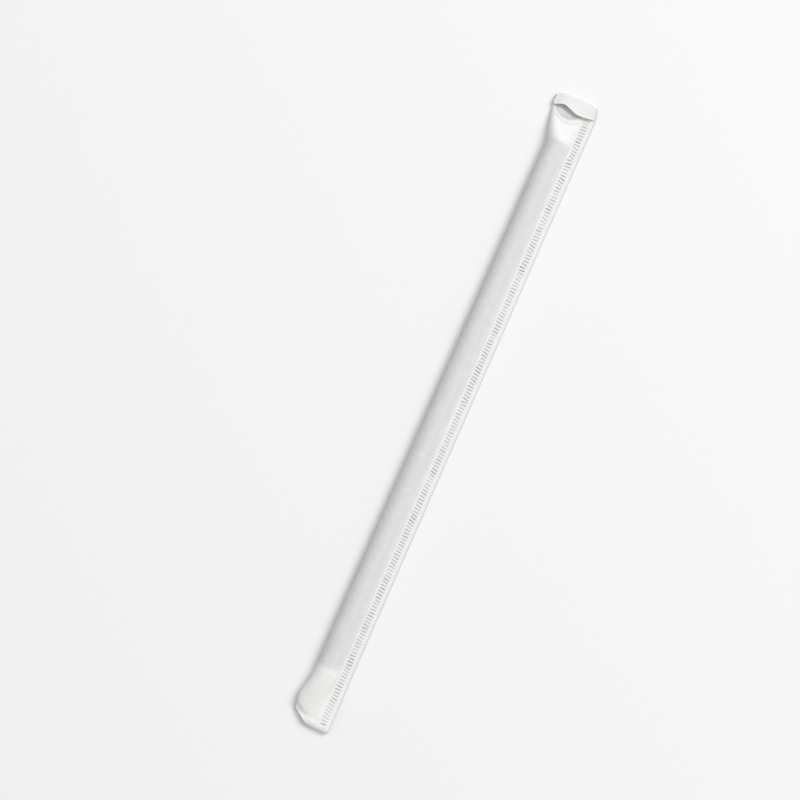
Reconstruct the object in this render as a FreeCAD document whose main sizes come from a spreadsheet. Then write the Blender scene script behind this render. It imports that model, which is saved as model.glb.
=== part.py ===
# A paper drinking straw sealed in its thin paper sleeve, lying on its flat side.
#
# X runs along the pack towards its folded end, the side seal lies on -Y, the
# closed fold of the web on +Y, and Z points up. The origin is on the resting
# plane, under the straw's axis and at the middle of its length. Millimetres.
import FreeCAD, Part
import Sketcher
import math
import os
from FreeCAD import Placement, Rotation, Vector

doc = FreeCAD.newDocument("WrappedStraw")
sheet = doc.addObject("Spreadsheet::Sheet", "Sizes")
sheet_rows = iter(range(1, 100))


def size(alias, value):
    """Write one size into the next row of the sheet and return it."""
    cell = f"A{next(sheet_rows)}"
    sheet.set(cell, str(value))
    sheet.setAlias(cell, alias)
    return value


# The straw: a wound paper tube
straw_diameter = size("StrawDiameter", 6.0)
straw_wall = size("StrawWall", 0.4)
straw_length = size("StrawLength", 197.0)

# The sleeve's paper, and the room that it leaves round the straw
ply = size("Ply", 0.1)
straw_clearance = size("StrawClearance", 0.1)
end_clearance = size("EndClearance", 0.5)

# Side seal: two plies crimped together, flat on the surface below
seal_reach = size("SealReach", 5.3)
side_seal = size("SideSeal", 4.3)
ridge_pitch = size("RidgePitch", 1.15)
ridge_margin = size("RidgeMargin", 1.5)
ridge_length = size("RidgeLength", 2.5)
ridge_width = size("RidgeWidth", 0.8)
ridge_height = size("RidgeHeight", 0.16)

# Tucked end: the sleeve flattens over its tail, and the seal is bent back under it
tucked_tail = size("TuckedTail", 19.3)
tuck_lead = size("TuckLead", 0.6)
tuck_radius = size("TuckRadius", 0.8)
tuck_angle = size("TuckAngle", 174.0)
tuck_flap = size("TuckFlap", 6.2)

# Folded end: the seal leans to one side and is curled up and back over itself
folded_tail = size("FoldedTail", 14.3)
fold_skew = size("FoldSkew", 1.0)
fold_lead = size("FoldLead", 0.8)
fold_radius = size("FoldRadius", 1.35)
fold_angle = size("FoldAngle", 165.0)
fold_flap = size("FoldFlap", 4.65)

# Crimp of the end seals: rows of short dashes along the pack
dash_pitch = size("DashPitch", 1.0)
dash_width = size("DashWidth", 0.56)
dash_height = size("DashHeight", 0.11)
dash_length = size("DashLength", 1.0)
row_pitch = size("RowPitch", 1.45)
end_margin = size("EndMargin", 0.6)

# How nearly the pocket closes: at its fold where it runs out, and at the side seal
slit_radius = size("SlitRadius", 0.08)
corner_gap = size("CornerGap", 0.02)


def wrap_turn(radius, reach, rise):
    """Angle that paper turns round the straw, from the flat ply below it to
    the slant that meets the seal at a reach and a rise from where it left."""
    to_seal = Vector(-reach, rise - radius, 0)
    slant = math.atan2(to_seal.y, to_seal.x) - math.acos(radius / to_seal.Length)
    return slant + 2 * math.pi + math.pi / 2


# Sizes that follow from them
pocket_radius = straw_diameter / 2 + straw_clearance
sleeve_radius = pocket_radius + ply
straw_place = side_seal + seal_reach
outer_turn = wrap_turn(sleeve_radius, seal_reach, 2 * ply)
pocket_turn = wrap_turn(pocket_radius, seal_reach - ply, corner_gap)
paper_round = outer_turn * (pocket_radius + ply / 2) / 2
flat_width = size("FlatWidth", side_seal + seal_reach + paper_round)
size("OuterTurn", math.degrees(outer_turn))
size("PocketTurn", math.degrees(pocket_turn))
round_end = size("RoundEnd", straw_length / 2 + end_clearance)
tucked_flat = size("TuckedFlat", round_end + tucked_tail)
folded_flat = size("FoldedFlat", round_end + folded_tail)
tuck_slant = math.radians(180 - tuck_angle)
tuck_drop = tuck_flap * math.sin(tuck_slant) + (tuck_radius + 2 * ply) * math.cos(tuck_slant)
tail_lift = size("TailLift", tuck_radius + tuck_drop + dash_height)
doc.recompute()

NOUGHT = (0, "0")
STRAW_PLACE = (straw_place, "Sizes.SideSeal + Sizes.SealReach")
FLAT_WIDTH = (flat_width, "Sizes.FlatWidth")
SEAL_EDGE = (side_seal, "Sizes.SideSeal")
TWO_PLIES = (2 * ply, "2 * Sizes.Ply")
POCKET_RADIUS = (pocket_radius, "Sizes.StrawDiameter / 2 + Sizes.StrawClearance")
UPRIGHT = Vector(0, 1, 0)


def origin_feature(body, role):
    return next(item for item in body.Origin.OriginFeatures if item.Role == role)


def new_sketch(body, name, role, along="0", lift="0", skew=0):
    """Attach a sketch to an upright origin plane. Its own origin lies on the
    side seal's outer edge, at a named place and height, turned by a skew."""
    sketch = body.newObject("Sketcher::SketchObject", name)
    sketch.AttachmentSupport = (origin_feature(body, role), [""])
    sketch.MapMode = "FlatFace"
    sketch.AttachmentOffset = Placement(Vector(0, 0, 0), Rotation(UPRIGHT, skew))
    ways = {
        "YZ_Plane": {"x": f"-({STRAW_PLACE[1]})", "y": lift, "z": along},
        "XZ_Plane": {"x": along, "y": lift, "z": STRAW_PLACE[1]},
    }[role]
    for direction, expression in ways.items():
        sketch.setExpression("AttachmentOffset.Base." + direction, expression)
    return sketch


def bind(sketch, kind, *ends, to):
    """Add a dimension, given as a value and the expression that it follows."""
    value, expression = to
    index = sketch.addConstraint(Sketcher.Constraint(kind, *ends, value))
    sketch.setExpression(f"Constraints[{index}]", expression)


def join_ends(sketch, count):
    """Join each edge's end to the next edge's start, all the way round."""
    for edge in range(count):
        following = (edge + 1) % count
        sketch.addConstraint(Sketcher.Constraint("Coincident", edge, 2, following, 1))


def rectangle(sketch, length, width):
    """A rectangle from the sketch's origin, bound to a length and a width."""
    corners = [(0, 0), (length[0], 0), (length[0], width[0]), (0, width[0])]
    points = [Vector(across, up, 0) for across, up in corners]
    for start, end in zip(points, points[1:] + points[:1]):
        sketch.addGeometry(Part.LineSegment(start, end))
    join_ends(sketch, 4)
    sketch.addConstraint(Sketcher.Constraint("Coincident", 0, 1, -1, 1))
    for edge, level in enumerate(("Horizontal", "Vertical", "Horizontal", "Vertical")):
        sketch.addConstraint(Sketcher.Constraint(level, edge))
    bind(sketch, "Distance", 0, to=length)
    bind(sketch, "Distance", 1, to=width)


def wrap_section(sketch, radius, centre, base, corner, corner_top, turn):
    """The section of the paper's outside or of its pocket: flat below, round
    the straw and down to a corner at the seal. With no base the outside's two
    plies go on from there to the seal's edge."""
    outside = base is NOUGHT
    middle = Vector(centre[0], base[0] + radius[0], 0)
    slant = turn[0] - math.pi / 2
    leaving = middle + Vector(math.cos(slant), math.sin(slant), 0) * radius[0]
    inner = Vector(corner[0], corner_top[0], 0)
    edge_across = 0 if outside else inner.x
    start = Vector(edge_across, base[0], 0)
    circle = Part.Circle(middle, Vector(0, 0, 1), radius[0])
    edges = [
        Part.LineSegment(start, Vector(middle.x, base[0], 0)),
        Part.ArcOfCircle(circle, -math.pi / 2, slant),
        Part.LineSegment(leaving, inner),
    ]
    if outside:
        edges.append(Part.LineSegment(inner, Vector(0, inner.y, 0)))
    edges.append(Part.LineSegment(Vector(edge_across, inner.y, 0), start))
    sketch.addGeometry(edges)
    join_ends(sketch, len(edges))
    sketch.addConstraint(Sketcher.Constraint("Horizontal", 0))
    sketch.addConstraint(Sketcher.Constraint("Vertical", len(edges) - 1))
    sketch.addConstraint(Sketcher.Constraint("Vertical", 0, 2, 1, 3))
    if outside:
        sketch.addConstraint(Sketcher.Constraint("Horizontal", 3))
        sketch.addConstraint(Sketcher.Constraint("Coincident", 0, 1, -1, 1))
    else:
        bind(sketch, "DistanceY", -1, 1, 0, 1, to=base)
    bind(sketch, "Radius", 1, to=radius)
    bind(sketch, "Angle", 1, to=turn)
    bind(sketch, "DistanceX", -1, 1, 1, 3, to=centre)
    bind(sketch, "DistanceX", -1, 1, 2, 2, to=corner)
    bind(sketch, "DistanceY", -1, 1, 2, 2, to=corner_top)


def finish_on(body, feature):
    """Make this the body's latest shape."""
    body.Tip = feature
    doc.recompute()


# The straw: two circles drawn out to its length
straw = doc.addObject("PartDesign::Body", "Straw")
straw.Label = "straw"
ring = straw.newObject("Sketcher::SketchObject", "StrawEnd")
ring.AttachmentSupport = (origin_feature(straw, "YZ_Plane"), [""])
ring.MapMode = "FlatFace"
for edge, radius in enumerate((
    (straw_diameter / 2, "Sizes.StrawDiameter / 2"),
    (straw_diameter / 2 - straw_wall, "Sizes.StrawDiameter / 2 - Sizes.StrawWall"),
)):
    ring.addGeometry(Part.Circle(Vector(0, 0, 0), Vector(0, 0, 1), radius[0]))
    ring.addConstraint(Sketcher.Constraint("Coincident", edge, 3, -1, 1))
    bind(ring, "Radius", edge, to=radius)
tube = straw.newObject("PartDesign::Pad", "StrawTube")
tube.Profile = ring
tube.setExpression("Length", "Sizes.StrawLength")
tube.Midplane = True
straw.setExpression("Placement.Base.z", POCKET_RADIUS[1] + " + Sizes.Ply")
finish_on(straw, tube)

# The sleeve's outside: a drawn-out middle and a tapering tail at each end
sleeve = doc.addObject("PartDesign::Body", "UncrimpedSleeve")


def outside_section(name, is_flat, along="0", lift="0", skew=0):
    radius = (sleeve_radius, POCKET_RADIUS[1] + " + Sizes.Ply")
    centre = STRAW_PLACE
    if is_flat:
        radius = (ply, "Sizes.Ply")
        centre = (flat_width - ply, "Sizes.FlatWidth - Sizes.Ply")
    sketch = new_sketch(sleeve, name, "YZ_Plane", along, lift, skew)
    turn = (outer_turn, "Sizes.OuterTurn * 1 deg")
    wrap_section(sketch, radius, centre, NOUGHT, SEAL_EDGE, TWO_PLIES, turn)
    return sketch


middle = sleeve.newObject("PartDesign::Pad", "RoundMiddle")
middle.Profile = outside_section("MiddleSection", False)
middle.setExpression("Length", "2 * Sizes.RoundEnd")
middle.Midplane = True
finish_on(sleeve, middle)
for name, round_place, flat_place, lift, skew in (
    ("TuckedTail", "-Sizes.RoundEnd", "-Sizes.TuckedFlat", "Sizes.TailLift", 0),
    ("FoldedTail", "Sizes.RoundEnd", "Sizes.FoldedFlat", "0", fold_skew),
):
    tail = sleeve.newObject("PartDesign::AdditiveLoft", name + "Loft")
    tail.Profile = outside_section(name + "Round", False, round_place)
    tail.Sections = [outside_section(name + "Flat", True, flat_place, lift, skew)]
    tail.Ruled = True
    finish_on(sleeve, tail)


# The end seals: each flat band follows a lead, a bend and its flap. Turned
# half way round, the bend that goes up at one end goes down at the other
def end_seal(name, along, lift, skew, outward, lead, radius, turn, flap):
    lead_end = Vector(outward * lead[0], 0, 0)
    bend_centre = lead_end + Vector(0, outward * radius[0], 0)
    bend_start = -outward * math.pi / 2
    bend_stop = bend_start + turn[0]
    spoke = Vector(math.cos(bend_stop), math.sin(bend_stop), 0)
    bend_end = bend_centre + spoke * radius[0]
    flap_end = bend_end + Vector(-spoke.y, spoke.x, 0) * flap[0]
    bend_circle = Part.Circle(bend_centre, Vector(0, 0, 1), radius[0])
    path = new_sketch(sleeve, name + "Path", "XZ_Plane", along, lift, skew)
    path.addGeometry([
        Part.LineSegment(Vector(0, 0, 0), lead_end),
        Part.ArcOfCircle(bend_circle, bend_start, bend_stop),
        Part.LineSegment(bend_end, flap_end),
    ])
    path.addConstraint(Sketcher.Constraint("Coincident", 0, 1, -1, 1))
    path.addConstraint(Sketcher.Constraint("Horizontal", 0))
    path.addConstraint(Sketcher.Constraint("Tangent", 0, 2, 1, 1))
    path.addConstraint(Sketcher.Constraint("Tangent", 1, 2, 2, 1))
    bind(path, "Distance", 0, to=lead)
    bind(path, "Radius", 1, to=radius)
    bind(path, "Angle", 1, to=turn)
    bind(path, "Distance", 2, to=flap)
    seal = sleeve.newObject("PartDesign::AdditivePipe", name)
    seal.Profile = new_sketch(sleeve, name + "Section", "YZ_Plane", along, lift, skew)
    rectangle(seal.Profile[0], FLAT_WIDTH, TWO_PLIES)
    seal.Spine = path
    finish_on(sleeve, seal)
    return bend_end


tuck_end = end_seal(
    "TuckedSeal", "-Sizes.TuckedFlat", "Sizes.TailLift", 0, -1,
    (tuck_lead, "Sizes.TuckLead"), (tuck_radius, "Sizes.TuckRadius"),
    (math.radians(tuck_angle), "Sizes.TuckAngle * 1 deg"), (tuck_flap, "Sizes.TuckFlap"),
)
fold_end = end_seal(
    "FoldedSeal", "Sizes.FoldedFlat", "0", fold_skew, 1,
    (fold_lead, "Sizes.FoldLead"), (fold_radius, "Sizes.FoldRadius"),
    (math.radians(fold_angle), "Sizes.FoldAngle * 1 deg"), (fold_flap, "Sizes.FoldFlap"),
)


# The pocket that the straw lies in, closed to a slit where it meets each seal
def pocket_section(name, is_flat, along="0", lift="0", skew=0):
    radius = POCKET_RADIUS
    centre = STRAW_PLACE
    if is_flat:
        radius = (slit_radius, "Sizes.SlitRadius")
        inset = ply + slit_radius
        centre = (flat_width - inset, "Sizes.FlatWidth - Sizes.Ply - Sizes.SlitRadius")
    sketch = new_sketch(sleeve, name, "YZ_Plane", along, lift, skew)
    base = (ply, "Sizes.Ply")
    corner = (side_seal + ply, "Sizes.SideSeal + Sizes.Ply")
    corner_top = (ply + corner_gap, "Sizes.Ply + Sizes.CornerGap")
    turn = (pocket_turn, "Sizes.PocketTurn * 1 deg")
    wrap_section(sketch, radius, centre, base, corner, corner_top, turn)
    return sketch


pocket = sleeve.newObject("PartDesign::Pocket", "PocketMiddle")
pocket.Profile = pocket_section("PocketSection", False)
pocket.setExpression("Length", "2 * Sizes.RoundEnd")
pocket.Midplane = True
finish_on(sleeve, pocket)
closed = f"(1 - Sizes.SlitRadius / ({POCKET_RADIUS[1]}))"
for name, round_place, slit_place, lift, skew in (
    (
        "TuckedPocket", "-Sizes.RoundEnd", "-Sizes.RoundEnd - Sizes.TuckedTail * " + closed,
        "Sizes.TailLift * " + closed, 0,
    ),
    (
        "FoldedPocket", "Sizes.RoundEnd", "Sizes.RoundEnd + Sizes.FoldedTail * " + closed,
        "0", fold_skew,
    ),
):
    hollow = sleeve.newObject("PartDesign::SubtractiveLoft", name)
    hollow.Profile = pocket_section(name + "Round", False, round_place)
    hollow.Sections = [pocket_section(name + "Slit", True, slit_place, lift, skew)]
    hollow.Ruled = True
    finish_on(sleeve, hollow)


# Crimps: each stands up from the upper ply as a vee, hollow to the same form
# below, and has a foot that reaches a little way under the ply that it is on
def vee(width, height, length):
    """A crimp's prism along X, standing on the XY plane."""
    foot = -ply / 4
    corners = [
        Vector(0, -width / 2, foot), Vector(0, width / 2, foot),
        Vector(0, width / 2, 0), Vector(0, 0, height), Vector(0, -width / 2, 0),
    ]
    face = Part.Face(Part.makePolygon(corners + corners[:1]))
    return face.extrude(Vector(length, 0, 0))


def placed(form, place):
    copy = form.copy()
    copy.Placement = place
    return copy


# The side seal's ridges lie across it, from its plain margin inwards. Over
# the tucked tail the seal climbs with it
unturned = Rotation()
across = Rotation(Vector(0, 0, 1), 90)
ridge = vee(ridge_width, ridge_height, ridge_length)
climb = math.degrees(math.atan2(tail_lift, tucked_tail))
climb_length = math.hypot(tail_lift, tucked_tail)
round_start = Placement(Vector(-round_end, -straw_place, 0), unturned)
climb_start = Placement(Vector(-round_end, -straw_place, 0), Rotation(Vector(0, 1, 0), climb))
crimps = []
for start, length, step in (
    (round_start, round_end + folded_flat, ridge_pitch),
    (climb_start, climb_length, -ridge_pitch),
):
    for count in range(int(length / ridge_pitch)):
        place = Vector(step * (count + 0.5), ridge_margin, 0)
        crimps.append((ridge, start * Placement(place, across)))

# The end seals' dashes lie along the pack on both flaps, in columns across the web
dash = vee(dash_width, dash_height, dash_length)
tuck_place = Placement(Vector(tuck_end.x - tucked_flat, -straw_place, tuck_end.y + tail_lift), unturned)
fold_start = Placement(Vector(folded_flat, -straw_place, 0), Rotation(Vector(0, 0, 1), fold_skew))
fold_place = fold_start * Placement(Vector(fold_end.x, 0, fold_end.y), unturned)
column_count = int((flat_width - 2 * end_margin) / dash_pitch)
first_column = (flat_width - (column_count - 1) * dash_pitch) / 2
for start, angle, first, length, step in (
    (tuck_place, tuck_angle, -end_margin - dash_length, tuck_flap, -row_pitch),
    (fold_place, fold_angle, end_margin, fold_flap, row_pitch),
):
    flap_start = start * Placement(Vector(0, 0, 0), Rotation(Vector(0, 1, 0), -angle))
    for row in range(int((length - end_margin) / row_pitch)):
        for column in range(column_count):
            place = Vector(first + row * step, first_column + column * dash_pitch, 0)
            crimps.append((dash, flap_start * Placement(place, unturned)))

# The sleeve with its crimps raised and hollowed
on_top = Placement(Vector(0, 0, 2 * ply), unturned)
raised = Part.makeCompound([placed(form, place * on_top) for form, place in crimps])
hollowed = Part.makeCompound([placed(form, place) for form, place in crimps])
crimped = sleeve.Shape.fuse(raised).cut(hollowed)
wrapper = doc.addObject("Part::Feature", "Wrapper")
wrapper.Label = "wrapper"
wrapper.Shape = crimped.Solids[0]
doc.recompute()

for item in doc.Objects:
    if {"Invalid", "Error"} & set(item.State):
        raise RuntimeError(item.Name + " failed")
if len(crimped.Solids) != 1 or len(wrapper.Shape.Shells) != 2:
    raise RuntimeError("the sleeve isn't one closed wall round one pocket")
os.makedirs("parts", exist_ok=True)
for piece in (straw, wrapper):
    if piece.Shape.isNull() or not piece.Shape.isValid():
        raise RuntimeError(piece.Label + " has no valid shape")
    piece.Shape.exportStep(f"parts/{piece.Label}.step")
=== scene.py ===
import math
import random

import bpy
import numpy as np
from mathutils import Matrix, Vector, noise


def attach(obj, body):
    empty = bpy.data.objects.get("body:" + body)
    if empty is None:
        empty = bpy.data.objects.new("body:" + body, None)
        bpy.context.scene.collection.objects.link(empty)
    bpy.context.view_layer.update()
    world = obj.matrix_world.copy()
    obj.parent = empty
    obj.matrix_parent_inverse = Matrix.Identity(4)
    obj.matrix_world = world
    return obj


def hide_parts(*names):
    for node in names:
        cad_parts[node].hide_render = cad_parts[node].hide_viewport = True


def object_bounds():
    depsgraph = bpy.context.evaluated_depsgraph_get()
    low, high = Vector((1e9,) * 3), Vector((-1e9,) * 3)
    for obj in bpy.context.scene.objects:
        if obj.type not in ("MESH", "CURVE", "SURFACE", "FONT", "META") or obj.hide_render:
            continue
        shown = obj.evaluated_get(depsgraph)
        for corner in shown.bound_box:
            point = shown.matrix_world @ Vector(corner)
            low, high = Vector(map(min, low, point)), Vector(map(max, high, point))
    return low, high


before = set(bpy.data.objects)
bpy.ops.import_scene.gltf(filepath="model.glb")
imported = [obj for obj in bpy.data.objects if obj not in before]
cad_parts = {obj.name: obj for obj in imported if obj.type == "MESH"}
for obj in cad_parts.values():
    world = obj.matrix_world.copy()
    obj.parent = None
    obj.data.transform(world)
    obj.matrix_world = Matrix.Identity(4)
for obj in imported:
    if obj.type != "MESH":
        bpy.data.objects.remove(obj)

cad_box = [list(corner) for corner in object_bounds()]
bpy.ops.object.select_all(action="DESELECT")

# The place it lies in: a plain pale table top under one soft studio lamp in an even
# white room, seen from straight above, with the pack slanting up to the right.
FRAME_PIXELS = 800
LOW_END_PIXEL = Vector((306, 724))
FOLDED_END_PIXEL = Vector((580, 99))
LENS = 85
SENSOR = 36
pack_low, pack_high = cad_box
pack_length = pack_high[0] - pack_low[0]
pack_middle = Vector(((pack_low[0] + pack_high[0]) / 2, (pack_low[1] + pack_high[1]) / 2, 0))
pixel_run = FOLDED_END_PIXEL - LOW_END_PIXEL
metres_per_pixel = pack_length / pixel_run.length
pack_turn = math.atan2(-pixel_run.y, pixel_run.x)
frame_right = Vector((math.cos(pack_turn), -math.sin(pack_turn), 0))
frame_up = Vector((math.sin(pack_turn), math.cos(pack_turn), 0))
middle_pixel = (LOW_END_PIXEL + FOLDED_END_PIXEL) / 2
off_right = FRAME_PIXELS / 2 - middle_pixel.x
off_up = middle_pixel.y - FRAME_PIXELS / 2
camera_place = pack_middle + (frame_right * off_right + frame_up * off_up) * metres_per_pixel
camera_place.z = FRAME_PIXELS * metres_per_pixel * LENS / SENSOR

bpy.ops.object.camera_add(location=camera_place, rotation=(0, 0, -pack_turn))
camera = bpy.context.object
camera.data.lens = LENS
camera.data.sensor_width = SENSOR
camera.data.clip_start = 0.01
camera.data.clip_end = 20
bpy.context.scene.camera = camera
bpy.context.scene.view_settings.view_transform = "Standard"

TABLE_SIZE = 6.0
TABLE_WHITE = (0.93, 0.93, 0.93, 1)
bpy.ops.mesh.primitive_plane_add(size=TABLE_SIZE, location=(camera_place.x, camera_place.y, 0))
table = bpy.context.object
table.name = "table_top"
table_paint = bpy.data.materials.new("table_paint")
table_paint.use_nodes = True
table_shader = table_paint.node_tree.nodes["Principled BSDF"]
table_shader.inputs["Base Color"].default_value = TABLE_WHITE
table_shader.inputs["Roughness"].default_value = 0.9
table_shader.inputs["Specular IOR Level"].default_value = 0.1
table.data.materials.append(table_paint)


def studio_lamp(name, right, up, height, size, watts):
    """A square soft lamp placed by the frame's own directions, aimed at the pack."""
    place = pack_middle + frame_right * right + frame_up * up + Vector((0, 0, height))
    aim = (pack_middle - place).to_track_quat("-Z", "Y").to_euler()
    bpy.ops.object.light_add(type="AREA", location=place, rotation=aim)
    lamp = bpy.context.object
    lamp.name = name
    lamp.data.shape = "SQUARE"
    lamp.data.size = size
    lamp.data.energy = watts


studio_lamp("key_lamp", right=1.5, up=0.9, height=2.3, size=1.5, watts=50)

# The room gives an even light, and is paler where it is seen past the table
ROOM_WHITE = (1, 1, 1, 1)
LIGHT_ON_THINGS = 0.54
LIGHT_AS_SEEN = 0.90
room = bpy.data.worlds.new("room")
room.use_nodes = True
room_light = room.node_tree.nodes["Background"]
room_light.inputs["Color"].default_value = ROOM_WHITE
seen_directly = room.node_tree.nodes.new("ShaderNodeLightPath")
brightness = room.node_tree.nodes.new("ShaderNodeMapRange")
brightness.inputs["To Min"].default_value = LIGHT_ON_THINGS
brightness.inputs["To Max"].default_value = LIGHT_AS_SEEN
room.node_tree.links.new(seen_directly.outputs["Is Camera Ray"], brightness.inputs["Value"])
room.node_tree.links.new(brightness.outputs["Result"], room_light.inputs["Strength"])
bpy.context.scene.world = room
bpy.ops.object.select_all(action="DESELECT")


# The straw: a tube wound on a slant from strips of paper, glued ply on ply. It is
# black outside, with the white core paper showing at the cut ends and in the bore,
# and it lies loose in the sealed sleeve. The CAD tube is its shape as it stands.
STRAW_RADIUS = 0.0030
STRAW_AXIS_HEIGHT = 0.0032
BLACK_PLY = 0.00006
WINDING_PITCH = 0.017
SEAM_SHARE = 0.035
BLACK_DARK = (0.030, 0.030, 0.033)
BLACK_LIGHT = (0.044, 0.044, 0.047)
SEAM_BLACK = (0.016, 0.016, 0.018)
CORE_DARK = (0.70, 0.69, 0.66)
CORE_LIGHT = (0.78, 0.77, 0.74)


def start_paper(name, shine):
    """A new paper, with its nodes, its links, its shader and the place on the piece."""
    paper = bpy.data.materials.new(name)
    paper.use_nodes = True
    shader = paper.node_tree.nodes["Principled BSDF"]
    shader.inputs["Specular IOR Level"].default_value = shine
    place = paper.node_tree.nodes.new("ShaderNodeTexCoord")
    return paper, paper.node_tree.nodes, paper.node_tree.links, shader, place


def paper_pattern(scale, detail, low, high, stretch=(1, 1, 1)):
    """Cloudy noise in object space, drawn out to run from one value to another."""
    mapping = nodes.new("ShaderNodeMapping")
    mapping.inputs["Scale"].default_value = stretch
    pattern = nodes.new("ShaderNodeTexNoise")
    pattern.inputs["Scale"].default_value = scale
    pattern.inputs["Detail"].default_value = detail
    spread = nodes.new("ShaderNodeMapRange")
    spread.inputs["From Min"].default_value = 0.3
    spread.inputs["From Max"].default_value = 0.7
    spread.inputs["To Min"].default_value = low
    spread.inputs["To Max"].default_value = high
    links.new(place.outputs["Object"], mapping.inputs["Vector"])
    links.new(mapping.outputs["Vector"], pattern.inputs["Vector"])
    links.new(pattern.outputs["Fac"], spread.inputs["Value"])
    return spread.outputs["Result"]


def worked_out(operation, first, second=0.0):
    """A number worked out for each point of the surface."""
    step = nodes.new("ShaderNodeMath")
    step.operation = operation
    for socket, value in zip(step.inputs, (first, second)):
        if isinstance(value, (int, float)):
            socket.default_value = value
        else:
            links.new(value, socket)
    return step.outputs["Value"]


def tinted(share_of_tint, under, tint):
    """A colour with a share of a second one over it."""
    mix = nodes.new("ShaderNodeMix")
    mix.data_type = "RGBA"
    links.new(share_of_tint, mix.inputs["Factor"])
    for socket, colour in ((mix.inputs["A"], under), (mix.inputs["B"], tint)):
        if isinstance(colour, tuple):
            socket.default_value = (*colour, 1)
        else:
            links.new(colour, socket)
    return mix.outputs["Result"]


def raise_fibres(height, strength, distance):
    """Lets the paper's fibres stand up from its face by a pattern of heights."""
    bump = nodes.new("ShaderNodeBump")
    bump.inputs["Strength"].default_value = strength
    bump.inputs["Distance"].default_value = distance
    links.new(height, bump.inputs["Height"])
    links.new(bump.outputs["Normal"], shader.inputs["Normal"])


straw_paper, nodes, links, shader, place = start_paper("straw_paper", shine=0.35)
from_axis = nodes.new("ShaderNodeMapping")
from_axis.inputs["Location"].default_value = (0, 0, -STRAW_AXIS_HEIGHT)
tube_place = nodes.new("ShaderNodeSeparateXYZ")
links.new(place.outputs["Object"], from_axis.inputs["Vector"])
links.new(from_axis.outputs["Vector"], tube_place.inputs["Vector"])
tube_x, tube_y, tube_z = (tube_place.outputs[axis] for axis in "XYZ")
y_squared = worked_out("POWER", worked_out("ABSOLUTE", tube_y), 2.0)
z_squared = worked_out("POWER", worked_out("ABSOLUTE", tube_z), 2.0)
axis_distance = worked_out("SQRT", worked_out("ADD", y_squared, z_squared))
core = worked_out("LESS_THAN", axis_distance, STRAW_RADIUS - BLACK_PLY)
turns_round = worked_out("DIVIDE", worked_out("ARCTAN2", tube_y, tube_z), 2 * math.pi)
windings = worked_out("ADD", worked_out("DIVIDE", tube_x, WINDING_PITCH), turns_round)
seam = worked_out("LESS_THAN", worked_out("FRACT", windings), SEAM_SHARE)
black = tinted(paper_pattern(900, 4, 0, 1), BLACK_DARK, BLACK_LIGHT)
black = tinted(seam, black, SEAM_BLACK)
white = tinted(paper_pattern(1200, 3, 0, 1), CORE_DARK, CORE_LIGHT)
links.new(tinted(core, black, white), shader.inputs["Base Color"])
links.new(paper_pattern(700, 3, 0.48, 0.64), shader.inputs["Roughness"])
fibre = paper_pattern(1500, 4, 0, 1, stretch=(0.5, 1, 1))
raise_fibres(worked_out("SUBTRACT", fibre, seam), strength=0.3, distance=0.00005)
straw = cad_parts["straw"]
straw.data.materials.clear()
straw.data.materials.append(straw_paper)


# The sleeve: one web of thin white paper, folded once along its length round the
# straw. Hot wheels crimp its open side and both ends, then the low end's seal is bent
# back under the pack and the other one curled over its top. Sizes in millimetres.
MM = 0.001
PLY = 0.10
STRAW_HALF = 98.5
ROUND_RADIUS = 3.2
ROUND_END = 99.0
SIDE_SEAL = 4.3
SEAL_REACH = 5.3
TUCKED_TAIL = 19.3
TUCK_LEAD = 0.6
TUCK_RADIUS = 0.8
TUCK_ANGLE = math.radians(174)
TUCK_FLAP = 6.2
FOLDED_TAIL = 14.3
FOLD_SKEW = math.radians(1)
FOLD_LEAD = 0.8
FOLD_RADIUS = 1.35
FOLD_ANGLE = math.radians(165)
FOLD_FLAP = 4.65
RIDGE_PITCH = 1.15
ROWS_PER_RIDGE = 4
SEAL_COLUMNS = 14
POCKET_COLUMNS = 41
DASH_HEIGHT = 0.11

round_turn = math.pi + 2 * math.atan(ROUND_RADIUS / SEAL_REACH)
pocket_girth = 2 * SEAL_REACH + round_turn * (ROUND_RADIUS - PLY / 2)
fin_edge = SIDE_SEAL + SEAL_REACH
flat_width = SIDE_SEAL + pocket_girth / 2
tucked_flat = ROUND_END + TUCKED_TAIL
folded_flat = ROUND_END + FOLDED_TAIL
tuck_slant = math.pi - TUCK_ANGLE
tail_lift = TUCK_RADIUS + TUCK_FLAP * math.sin(tuck_slant)
tail_lift += (TUCK_RADIUS + 2 * PLY) * math.cos(tuck_slant) + DASH_HEIGHT
tuck_length = TUCK_LEAD + TUCK_RADIUS * TUCK_ANGLE + TUCK_FLAP
fold_length = FOLD_LEAD + FOLD_RADIUS * FOLD_ANGLE + FOLD_FLAP
web_start = -tucked_flat - tuck_length
web_end = folded_flat + fold_length
row_step = RIDGE_PITCH / ROWS_PER_RIDGE
row_count = round((web_end - web_start) / row_step)
half_columns = SEAL_COLUMNS + POCKET_COLUMNS
column_count = 2 * half_columns

bpy.ops.mesh.primitive_grid_add(x_subdivisions=row_count, y_subdivisions=column_count, size=1)
sleeve = bpy.context.object
sleeve.name = "paper_sleeve"
vertex_count = len(sleeve.data.vertices)
flat = np.empty(vertex_count * 3)
sleeve.data.vertices.foreach_get("co", flat)
flat = flat.reshape(-1, 3)
row = np.rint((flat[:, 0] + 0.5) * row_count).astype(int)
column = np.rint((flat[:, 1] + 0.5) * column_count).astype(int)

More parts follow.
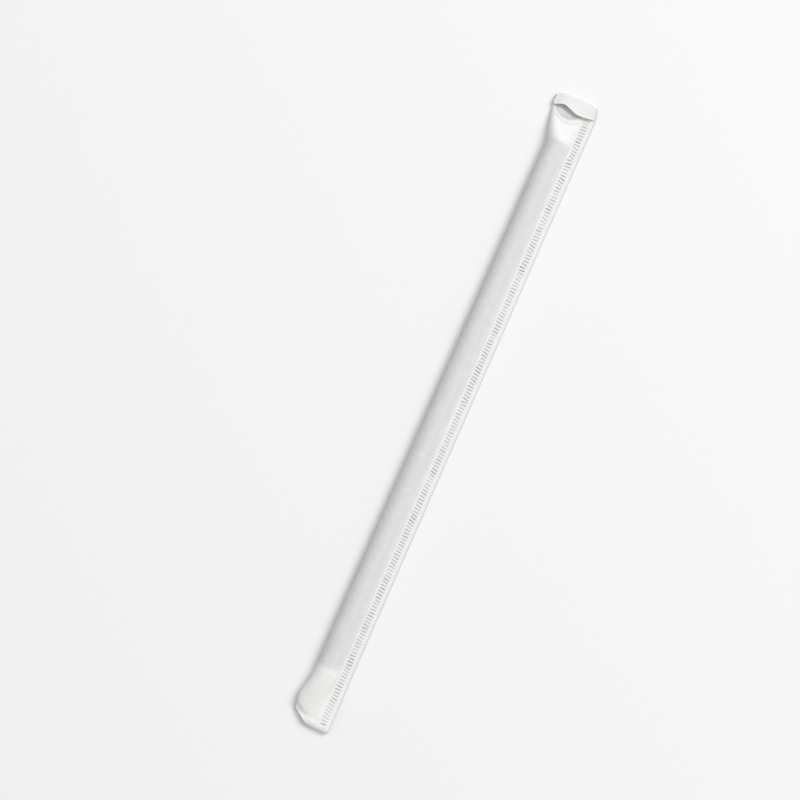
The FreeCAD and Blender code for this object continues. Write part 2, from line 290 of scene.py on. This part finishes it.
# Where each vertex is on the flat web: along it, and in from the side seal's
# cut edge, on the lower ply up to the fold and on the upper ply back again
along = web_start + row * (web_end - web_start) / row_count
upper = column > half_columns
from_edge = np.where(upper, column_count - column, column)
inward = np.where(
    from_edge <= SEAL_COLUMNS,
    from_edge * SIDE_SEAL / SEAL_COLUMNS,
    SIDE_SEAL + (from_edge - SEAL_COLUMNS) * (flat_width - SIDE_SEAL) / POCKET_COLUMNS,
)
past_tuck = -tucked_flat - along
past_fold = along - folded_flat
in_seal = inward <= SIDE_SEAL
cut_edge = (from_edge == 0) | (row == 0) | (row == row_count)


def soft_step(value, low, high):
    """0 up to the low value and 1 from the high one, with a soft rise between."""
    part = np.clip((value - low) / (high - low), 0, 1)
    return part * part * (3 - 2 * part)


def over_width(start, full, fading, gone):
    """1 over the middle of a ply and 0 past its sides, counted from the cut edge."""
    return soft_step(inward, start, full) * (1 - soft_step(inward, fading, gone))


def smooth_curve(value, points, spread, samples=400):
    """A curve through the given points with its corners rounded off."""
    places, heights = zip(*points)
    fine = np.linspace(places[0] - 3 * spread, places[-1] + 3 * spread, samples)
    plain = np.interp(fine, places, heights)
    weights = np.exp(-0.5 * ((fine[:, None] - fine[None, :]) / spread) ** 2)
    rounded = (weights * plain).sum(axis=1) / weights.sum(axis=1)
    return np.interp(value, fine, rounded)


def paper_noise(across_size, along_size, seed, plies_apart=True):
    """Smooth random values on the web, by feature sizes in millimetres."""
    crossways = np.where(upper & plies_apart, 2 * flat_width - inward, inward) / across_size
    lengthways = along / along_size
    return np.array([noise.noise(Vector((a, b, seed))) for a, b in zip(lengthways, crossways)])


# How open the pocket is: round over the straw, closing to nothing at the seals. The
# low end stays fuller than the folded one, and is closed a little before its seal.
# The flat reach beside the round is what the pocket's girth leaves for it
CLOSING_START = 2.5
TUCK_CLOSED_BEFORE = 1.6
TUCK_FULLNESS = 2.2
REACH_ROUNDS = 30
past_round = np.where(along > 0, along - ROUND_END, -along - ROUND_END) + CLOSING_START / 2
closing_length = np.where(along > 0, FOLDED_TAIL, TUCKED_TAIL - TUCK_CLOSED_BEFORE)
closing = np.where(
    past_round < CLOSING_START,
    np.clip(past_round, 0, None) ** 2 / (2 * CLOSING_START),
    past_round - CLOSING_START / 2,
)
fullness = np.where(along > 0, 1.0, TUCK_FULLNESS)
openness = 1 - np.clip(closing / closing_length, 0, 1) ** fullness
radius = PLY + (ROUND_RADIUS - PLY) * openness
reach = np.full(vertex_count, SEAL_REACH)
for attempt in range(REACH_ROUNDS):
    turn = math.pi + 2 * np.arctan(radius / reach)
    reach = (pocket_girth - turn * (radius - PLY / 2)) / 2
turn = math.pi + 2 * np.arctan(radius / reach)
centre = reach - SEAL_REACH

# Round the section: along the bottom, round the straw, and down to the seal
path = 2 * reach + turn * radius
share = np.clip((inward - SIDE_SEAL) / (flat_width - SIDE_SEAL), 0, 1) / 2
share = np.where(upper, 1 - share, share)
travelled = share * path
angle = np.clip((travelled - reach) / radius, 0, turn) - math.pi / 2
across = centre + np.cos(angle) * radius
up = radius + np.sin(angle) * radius
out_across = np.cos(angle)
out_up = np.sin(angle)
on_bottom = travelled < reach
across = np.where(on_bottom, centre - reach + travelled, across)
up = np.where(on_bottom, 0, up)
out_across = np.where(on_bottom, 0, out_across)
out_up = np.where(on_bottom, -1, out_up)
slant_part = np.clip((travelled - reach - turn * radius) / reach, 0, 1)
on_slant = slant_part > 0
last_angle = turn - math.pi / 2
leave_across = centre + np.cos(last_angle) * radius
leave_up = radius + np.sin(last_angle) * radius
across = np.where(on_slant, leave_across + (-SEAL_REACH - leave_across) * slant_part, across)
up = np.where(on_slant, leave_up + (2 * PLY - leave_up) * slant_part, up)
across = np.where(in_seal, inward - fin_edge, across)
up = np.where(in_seal, np.where(upper, 2 * PLY, 0), up)
out_across = np.where(in_seal, 0, out_across)
out_up = np.where(in_seal, np.where(upper, 1, -1), out_up)

# Loose paper: it arches a little where it spans from the straw to the seal, more
# so in the tails, with slow waves along it and small puckers at the seal. It is
# drawn tight at the straw's crown and down its fold side
ARCH = 0.22
TAIL_ARCH = 0.55
LONG_WAVE = 0.22
SHORT_WAVE = 0.09
PUCKER = 0.15
PUCKER_REACH = 1.3
TAIL_CREASE = 0.30
LEAST_SLACK = 0.3
CALMED_AT_SEAL = 6
TIGHT_FROM_HEIGHT = 4.9
TIGHT_AT_HEIGHT = 5.7
in_tail = soft_step(np.abs(along), ROUND_END - 3, ROUND_END + 3)
in_pocket = (past_tuck < 0) & (past_fold < 0) & ~in_seal
span = 4 * slant_part * (1 - slant_part)
arch = span * (ARCH + TAIL_ARCH * in_tail * openness)
slack = np.where(upper, LEAST_SLACK + (1 - LEAST_SLACK) * np.clip(span, 0, 1), 0)
waves = paper_noise(5.0, 15.0, seed=1.5) * LONG_WAVE + paper_noise(2.6, 5.0, seed=4.5) * SHORT_WAVE
puckers = paper_noise(30.0, 1.9, seed=8.5) * PUCKER
puckers = puckers * np.exp(-np.clip(inward - SIDE_SEAL, 0, None) / PUCKER_REACH)
tail_creases = paper_noise(2.2, 14.0, seed=12.5) * TAIL_CREASE * in_tail * (1 - openness) ** 0.5
swell = arch + (waves + puckers) * slack + tail_creases * slack
swell = np.where(in_pocket, swell, 0) * np.clip(openness * CALMED_AT_SEAL, 0, 1)
at_crown = soft_step(up, TIGHT_FROM_HEIGHT, TIGHT_AT_HEIGHT)
held_in = np.maximum(soft_step(out_across, -0.2, 0.3), at_crown)
swell = swell - np.maximum(swell, 0) * held_in
across = across + out_across * swell
up = up + out_up * swell

# Under the folded end's flap the pocket's top is drawn down flat, up to a curved
# crease where the straw's side of it stands up again, with a lip and a groove
CREASE_BEFORE_CREST = 5.0
DRAWN_DOWN = 0.36
LIP_HEIGHT = 0.40
LIP_BACK = 1.0
LIP_WIDTH = 0.5
GROOVE_BACK = 2.2
GROOVE_WIDTH = 0.45
GROOVE_SHARE = 0.5
crease_line = smooth_curve(
    inward,
    [(0, -0.4), (3.5, -0.8), (4.4, -0.9), (6.8, -2.3), (8.7, -3.2), (11.3, -3.3),
     (13.2, -2.6), (15.0, -0.7), (16.3, -0.4)],
    spread=0.5,
)
crest = folded_flat + FOLD_LEAD + FOLD_RADIUS
past_crease = along - (crest - CREASE_BEFORE_CREST + crease_line)
pocket_top = upper & ~in_seal & (past_fold < 0)
pressed = soft_step(past_crease, -0.5, 1.3) * pocket_top
pressed *= soft_step(inward, SIDE_SEAL, SIDE_SEAL + 1.2)
up = up * (1 - DRAWN_DOWN * pressed)
lip = np.exp(-((past_crease + LIP_BACK) / LIP_WIDTH) ** 2)
groove = np.exp(-((past_crease + GROOVE_BACK) / GROOVE_WIDTH) ** 2)
lip = lip - GROOVE_SHARE * groove
lip *= upper & ~in_seal
lip *= over_width(SIDE_SEAL + 0.5, SIDE_SEAL + 2.5, 13.5, 15.5)
up = up + LIP_HEIGHT * lip

# Crimps of the side seal: ridges across it, each with its own height, reach and lean
RIDGE_MARGIN = 1.5
RIDGE_LENGTH = 2.5
RIDGE_HEIGHT = 0.16
RIDGES_STOP_BEFORE = 0.9
rng = random.Random(11)
ridge_total = row_count // ROWS_PER_RIDGE + 3
leans = np.array([rng.gauss(0.16, 0.22) for _ in range(ridge_total)]).clip(-0.42, 0.42)
heights = np.array([rng.uniform(0.7, 1.0) for _ in range(ridge_total)])
outer_ends = np.array([rng.uniform(-0.18, 0.12) for _ in range(ridge_total)])
inner_ends = np.array([rng.uniform(-0.25, 0.18) for _ in range(ridge_total)])
depths = np.array([rng.uniform(0.35, 1.0) for _ in range(ridge_total)])
ridge_place = row / ROWS_PER_RIDGE
phase = row % ROWS_PER_RIDGE


def by_ridge(values):
    """Each ridge's own value along the web, eased from one ridge to the next."""
    return np.interp(ridge_place, np.arange(ridge_total) + 0.5, values)


outer_end = RIDGE_MARGIN + by_ridge(outer_ends)
inner_end = RIDGE_MARGIN + RIDGE_LENGTH + by_ridge(inner_ends)
across_ridge = over_width(outer_end - 0.25, outer_end + 0.2, inner_end - 0.15, inner_end + 0.25)
in_row = (past_tuck < -RIDGES_STOP_BEFORE) & (past_fold < -RIDGES_STOP_BEFORE)
across_ridge = np.where(in_row, across_ridge, 0)
ridge_wave = 0.5 - 0.5 * np.cos(2 * math.pi * phase / ROWS_PER_RIDGE)
up = up + RIDGE_HEIGHT * by_ridge(heights) * ridge_wave * across_ridge
lean_part = (inward - RIDGE_MARGIN - RIDGE_LENGTH / 2) / RIDGE_LENGTH
lean_shift = 2 * by_ridge(leans) * np.clip(lean_part, -0.6, 0.6) * across_ridge

# Crimps of the end seals: rows of short dashes along the pack, in columns. At the
# folded end they start before the seal, on the paper that is drawn down flat
ROW_PITCH = 1.45
DASH_SHARE = 0.66
END_MARGIN = 0.6
COLUMNS_PER_DASH = 3
FOLD_ROWS_BEFORE = 3.0
dash_column = np.where(from_edge % COLUMNS_PER_DASH == 0, 0.0, 1.0)
seal_ends = [(past_tuck, 0.0, tuck_length), (past_fold, -FOLD_ROWS_BEFORE, fold_length)]
dashes = np.zeros(vertex_count)
for past, first, last in seal_ends:
    row_part = ((past - END_MARGIN) / ROW_PITCH) % 1
    in_dash = (row_part < DASH_SHARE) & (past > first) & (past < last - END_MARGIN)
    dashes += in_dash * dash_column
dashes *= (inward > END_MARGIN) & (inward < flat_width - END_MARGIN)
dashes *= np.where((past_fold > 0) | (past_tuck > 0), 1, pressed)
up = up + DASH_HEIGHT * dashes

# The cut edges of the two plies meet
up = np.where(cut_edge, PLY, up)


def bend(past, height, lead, bend_radius, bend_angle, way):
    """How far out and how high paper comes that runs on over a lead, a bend
    and a flap. The way is 1 for a bend upwards and -1 for one downwards."""
    into = np.clip(past - lead, 0, bend_radius * bend_angle) / bend_radius
    beyond = np.clip(past - lead - bend_radius * bend_angle, 0, None)
    inner = bend_radius - height * way
    out = np.minimum(past, lead) + np.sin(into) * inner + np.cos(into) * beyond
    rise = bend_radius - np.cos(into) * inner + np.sin(into) * beyond
    return out, rise * way


# The low end: its fold side is drawn in and its corner there turned under, along a
# line given by how far it is past the seal's start and in from the cut edge. Then the
# whole seal is bent back under the pack, gathered in at its side
DRAWN_IN = 2.6
DRAWN_FROM_WIDTH = 7
ALL_DRAWN_IN = 0.5
NOT_DRAWN_IN = 9.5
CORNER_START = np.array([-2.7, 13.6])
CORNER_FINISH = np.array([TUCK_LEAD + TUCK_RADIUS, 8.0])
CORNER_RADIUS = 0.2
CORNER_FLATTENED = 0.85
FLATTENED_OVER = 2.2
LOW_END_LENGTH = 9
GATHERED_WITHIN = 1.5
GATHERED_LEAST = 0.3
GATHERS_FROM = 2.5
GATHERED_BY = 5
corner_run = CORNER_FINISH - CORNER_START
corner_run /= np.hypot(*corner_run)
corner_out = np.array([-corner_run[1], corner_run[0]])
width_place = across + fin_edge
near_tuck = 1 - soft_step(-past_tuck, ALL_DRAWN_IN, NOT_DRAWN_IN)
near_fold_side = soft_step(width_place, DRAWN_FROM_WIDTH, flat_width)
width_place = width_place - DRAWN_IN * near_tuck * near_fold_side
past_corner = (past_tuck - CORNER_START[0]) * corner_out[0]
past_corner += (width_place - CORNER_START[1]) * corner_out[1]
at_low_end = past_tuck > -LOW_END_LENGTH
beside_corner = soft_step(past_corner, -FLATTENED_OVER, 0) * at_low_end
up = up * (1 - CORNER_FLATTENED * beside_corner)
turned_out, turned_up = bend(past_corner, up, 0, CORNER_RADIUS, math.pi, -1)
turned = at_low_end & (past_corner > 0)
shift = np.where(turned, turned_out - past_corner, 0)
tuck_run = past_tuck + shift * corner_out[0]
width_place = width_place + shift * corner_out[1]
gather_range = GATHERED_WITHIN - GATHERED_LEAST
gathered_place = np.exp((width_place - GATHERED_WITHIN) / gather_range)
gathered_place = GATHERED_LEAST + gather_range * gathered_place
at_seal_side = soft_step(past_tuck, GATHERS_FROM, GATHERED_BY)
at_seal_side = at_seal_side * (width_place < GATHERED_WITHIN)
width_place = width_place + (gathered_place - width_place) * at_seal_side
up = np.where(turned, turned_up, up)
tuck_out, tuck_rise = bend(tuck_run, up, TUCK_LEAD, TUCK_RADIUS, TUCK_ANGLE, -1)

# The folded end: the curl is tighter at both corners, and its crest falls back
# there. The flap bows up towards the fold, and its free edge comes nearer there
FLAP_WAVE = 0.5
crest_fall = smooth_curve(
    inward,
    [(0, 0.9), (0.6, 0.55), (1.5, 0.15), (2.3, 0), (13.0, 0), (14.6, 0.3), (16.3, 1.5)],
    spread=0.35,
)
curl_radius = smooth_curve(
    inward,
    [(0, 0.5), (3, 0.75), (8, 1.1), (12, 1.2), (14, 1.15), (16.3, 0.75)],
    spread=0.9,
)
curl_degrees = smooth_curve(
    inward,
    [(0, 177), (5, 176), (9, 172), (12, 168), (14, 169), (16.3, 175)],
    spread=0.9,
)
curl_angle = np.radians(curl_degrees)
free_edge = smooth_curve(
    inward,
    [(0, 5.0), (1, 5.2), (4, 5.77), (7, 5.9), (10.2, 4.8), (12, 4.1), (14, 4.5),
     (15.6, 5.3), (16.3, 5.1)],
    spread=0.5,
)
lead = FOLD_LEAD + FOLD_RADIUS - curl_radius - crest_fall
flap = fold_length - lead - curl_radius * curl_angle
flap_seen = free_edge - crest_fall - curl_radius * (1 - np.sin(curl_angle))
gather = flap_seen / (flap * -np.cos(curl_angle))
flap_start = lead + curl_radius * curl_angle
past_curl = past_fold - flap_start
fold_run = np.where(past_fold > flap_start, flap_start + past_curl * gather, past_fold)
fold_out, fold_rise = bend(fold_run, up, lead, curl_radius, curl_angle, 1)
flap_waves = paper_noise(6.0, 9.0, seed=21.5, plies_apart=False) * FLAP_WAVE
fold_rise = fold_rise + flap_waves * soft_step(past_fold, 2.5, 8)

# The curled seal is drawn in from both sides, most at the crest of the curl
INSET_STARTS_BEFORE = 4
seal_inset = smooth_curve(
    past_fold,
    [(-3, 0), (-1.2, 0.2), (0.3, 0.8), (1.6, 1.5), (4, 1.1), (6, 0.7), (9.4, 0.6)],
    spread=0.6,
)
fold_inset = smooth_curve(
    past_fold,
    [(0, 0), (0.8, 0.05), (2.9, 0.2), (5.5, 0.05), (7, 0), (9.4, 0.3)],
    spread=0.6,
)
inset_width = (flat_width - seal_inset - fold_inset) / flat_width
curled_width = seal_inset + width_place * inset_width
fold_width = np.where(past_fold > -INSET_STARTS_BEFORE, curled_width, width_place)
skew = soft_step(along, ROUND_END, folded_flat) * FOLD_SKEW

# Where it all comes to lie: the low tail rises over its tucked seal, and nothing
# goes below the table or above the pack's own height
lift = tail_lift * np.clip(1 + tuck_run / TUCKED_TAIL, 0, 1) ** 2
low_end = along < 0
fold_y = fold_width + skew * np.clip(fold_out, 0, None)
x_place = np.where(low_end, -tucked_flat - tuck_out, folded_flat + fold_out - skew * fold_width)
y_place = np.where(low_end, width_place, fold_y) - fin_edge
z_place = np.where(low_end, tuck_rise + lift, fold_rise)
x_place = x_place + lean_shift
z_place = np.clip(z_place, 0, pack_high[2] / MM)
folded = np.column_stack((x_place, y_place, z_place)) * MM
sleeve.data.vertices.foreach_set("co", folded.ravel())

# How much the black straw shows through: by how near the paper lies to it, and
# not past its ends
SHOWS_WITHIN = 2.6
UNEVEN_END = 0.5
gap = np.hypot(y_place, z_place - ROUND_RADIUS) - ROUND_RADIUS
over_straw = np.exp(-np.clip(gap, 0, None) / SHOWS_WITHIN)
from_middle = np.abs(along) + paper_noise(3.0, 50.0, seed=31.5) * UNEVEN_END
over_straw *= 1 - soft_step(from_middle, STRAW_HALF - 1.0, STRAW_HALF + 0.8)
over_straw *= np.where(in_seal, 0, soft_step(inward, SIDE_SEAL, SIDE_SEAL + 0.9))

# How grey the crimps are pressed, with painted shade: the strokes in the side seal's grooves
# are pressed grey and painted groove shade, the dashes of the end seals are pressed grey,
# and the streaked paper between the crease and the flap is painted shade from the flap
BETWEEN_STROKES = 0.04
FOLDED_DASH = 0.06
TUCKED_DASH = 0.22
SHADE_ON_STREAK = 0.34
SHADE_BETWEEN_STREAKS = 0.24
UNDER_FLAP_FADE = 0.80
# Strokes in the grooves between the side seal's ridges: pressed grey paper and painted groove
# shade
stroke_grey_and_shade = np.where(phase == 0, 1.0, BETWEEN_STROKES)
stroke_grey_and_shade = stroke_grey_and_shade * over_width(outer_end + 0.05, outer_end + 0.4, inner_end - 0.35, inner_end)
stroke_grey_and_shade = stroke_grey_and_shade * across_ridge * by_ridge(depths)
dash_grey = np.where(past_fold > 0, FOLDED_DASH, TUCKED_DASH) * dashes
# Painted shade under the curled flap, in streaks along the crimp columns, fading further in under
# the flap
flap_shade_streaks = soft_step(past_crease, -0.5, 0.1) * pocket_top
flap_shade_streaks *= over_width(SIDE_SEAL + 1.0, SIDE_SEAL + 3.0, 14.2, 15.8)
flap_shade_streaks *= np.where(dash_column == 0, SHADE_ON_STREAK, SHADE_BETWEEN_STREAKS)
flap_shade_streaks *= 1 - UNDER_FLAP_FADE * soft_step(past_crease, 0.6, 2.3)
crimp_grey_and_painted_shade = np.clip(stroke_grey_and_shade + dash_grey + flap_shade_streaks, 0, 1)

# Painted shade: a thin dark line along the side seal's cut edge
NEXT_TO_EDGE = 0.3
edge_shade = np.where(from_edge == 0, 1.0, np.where(from_edge == 1, NEXT_TO_EDGE, 0.0))


def keep_on_paper(name, values):
    """Stores a value for each vertex, for the paper's colours to read."""
    attribute = sleeve.data.attributes.new(name, "FLOAT", "POINT")
    attribute.data.foreach_set("value", values)


keep_on_paper("over_straw", over_straw)
keep_on_paper("crimp_grey_and_painted_shade", crimp_grey_and_painted_shade)
keep_on_paper("cut_edge", edge_shade)

# The plies are joined along their cut edges
JOIN_WITHIN = 0.000004
bpy.ops.object.mode_set(mode="EDIT")
bpy.ops.mesh.select_all(action="SELECT")
bpy.ops.mesh.remove_doubles(threshold=JOIN_WITHIN)
bpy.ops.mesh.normals_make_consistent(inside=False)
bpy.ops.object.mode_set(mode="OBJECT")
bpy.ops.object.shade_smooth()

# The paper: thin, white and matt, a little cloudy, with a fine fibre. Its colour also
# carries painted shade: in the side seal's grooves, under the curled flap and along the cut edge
SHEET_DARK = (0.825, 0.83, 0.815)
SHEET_LIGHT = (0.875, 0.88, 0.865)
SHOWN_THROUGH = (0.695, 0.695, 0.705)
PRESSED_GREY_AND_SHADE = (0.12, 0.125, 0.13)
PAINTED_EDGE_SHADE = (0.40, 0.41, 0.42)
EDGE_SHADE_SHARE = 0.6
sleeve_paper, nodes, links, shader, place = start_paper("sleeve_paper", shine=0.25)


def read_from_paper(name):
    """The value kept under this name, at each point of the surface."""
    reader = nodes.new("ShaderNodeAttribute")
    reader.attribute_name = name
    return reader.outputs["Fac"]


clouds = paper_pattern(420, 4, 0.76, 1.14)
clouds = worked_out("MULTIPLY", clouds, paper_pattern(1500, 3, 0.84, 1.14))
through = worked_out("MULTIPLY", read_from_paper("over_straw"), clouds)
# Painted shade along the side seal's cut edge
edge = worked_out("MULTIPLY", read_from_paper("cut_edge"), EDGE_SHADE_SHARE)
colour = tinted(paper_pattern(1200, 4, 0, 1), SHEET_DARK, SHEET_LIGHT)
colour = tinted(through, colour, SHOWN_THROUGH)
# Pressed grey of the crimps, with painted shade in the side seal's grooves and under the flap
colour = tinted(read_from_paper("crimp_grey_and_painted_shade"), colour, PRESSED_GREY_AND_SHADE)
colour = tinted(edge, colour, PAINTED_EDGE_SHADE)
links.new(colour, shader.inputs["Base Color"])
links.new(paper_pattern(900, 2, 0.55, 0.75), shader.inputs["Roughness"])
fibre = paper_pattern(1500, 5, 0, 1, stretch=(0.6, 1, 1))
raise_fibres(fibre, strength=0.22, distance=0.00006)
sleeve.data.materials.append(sleeve_paper)
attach(sleeve, "root")
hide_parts("wrapper")
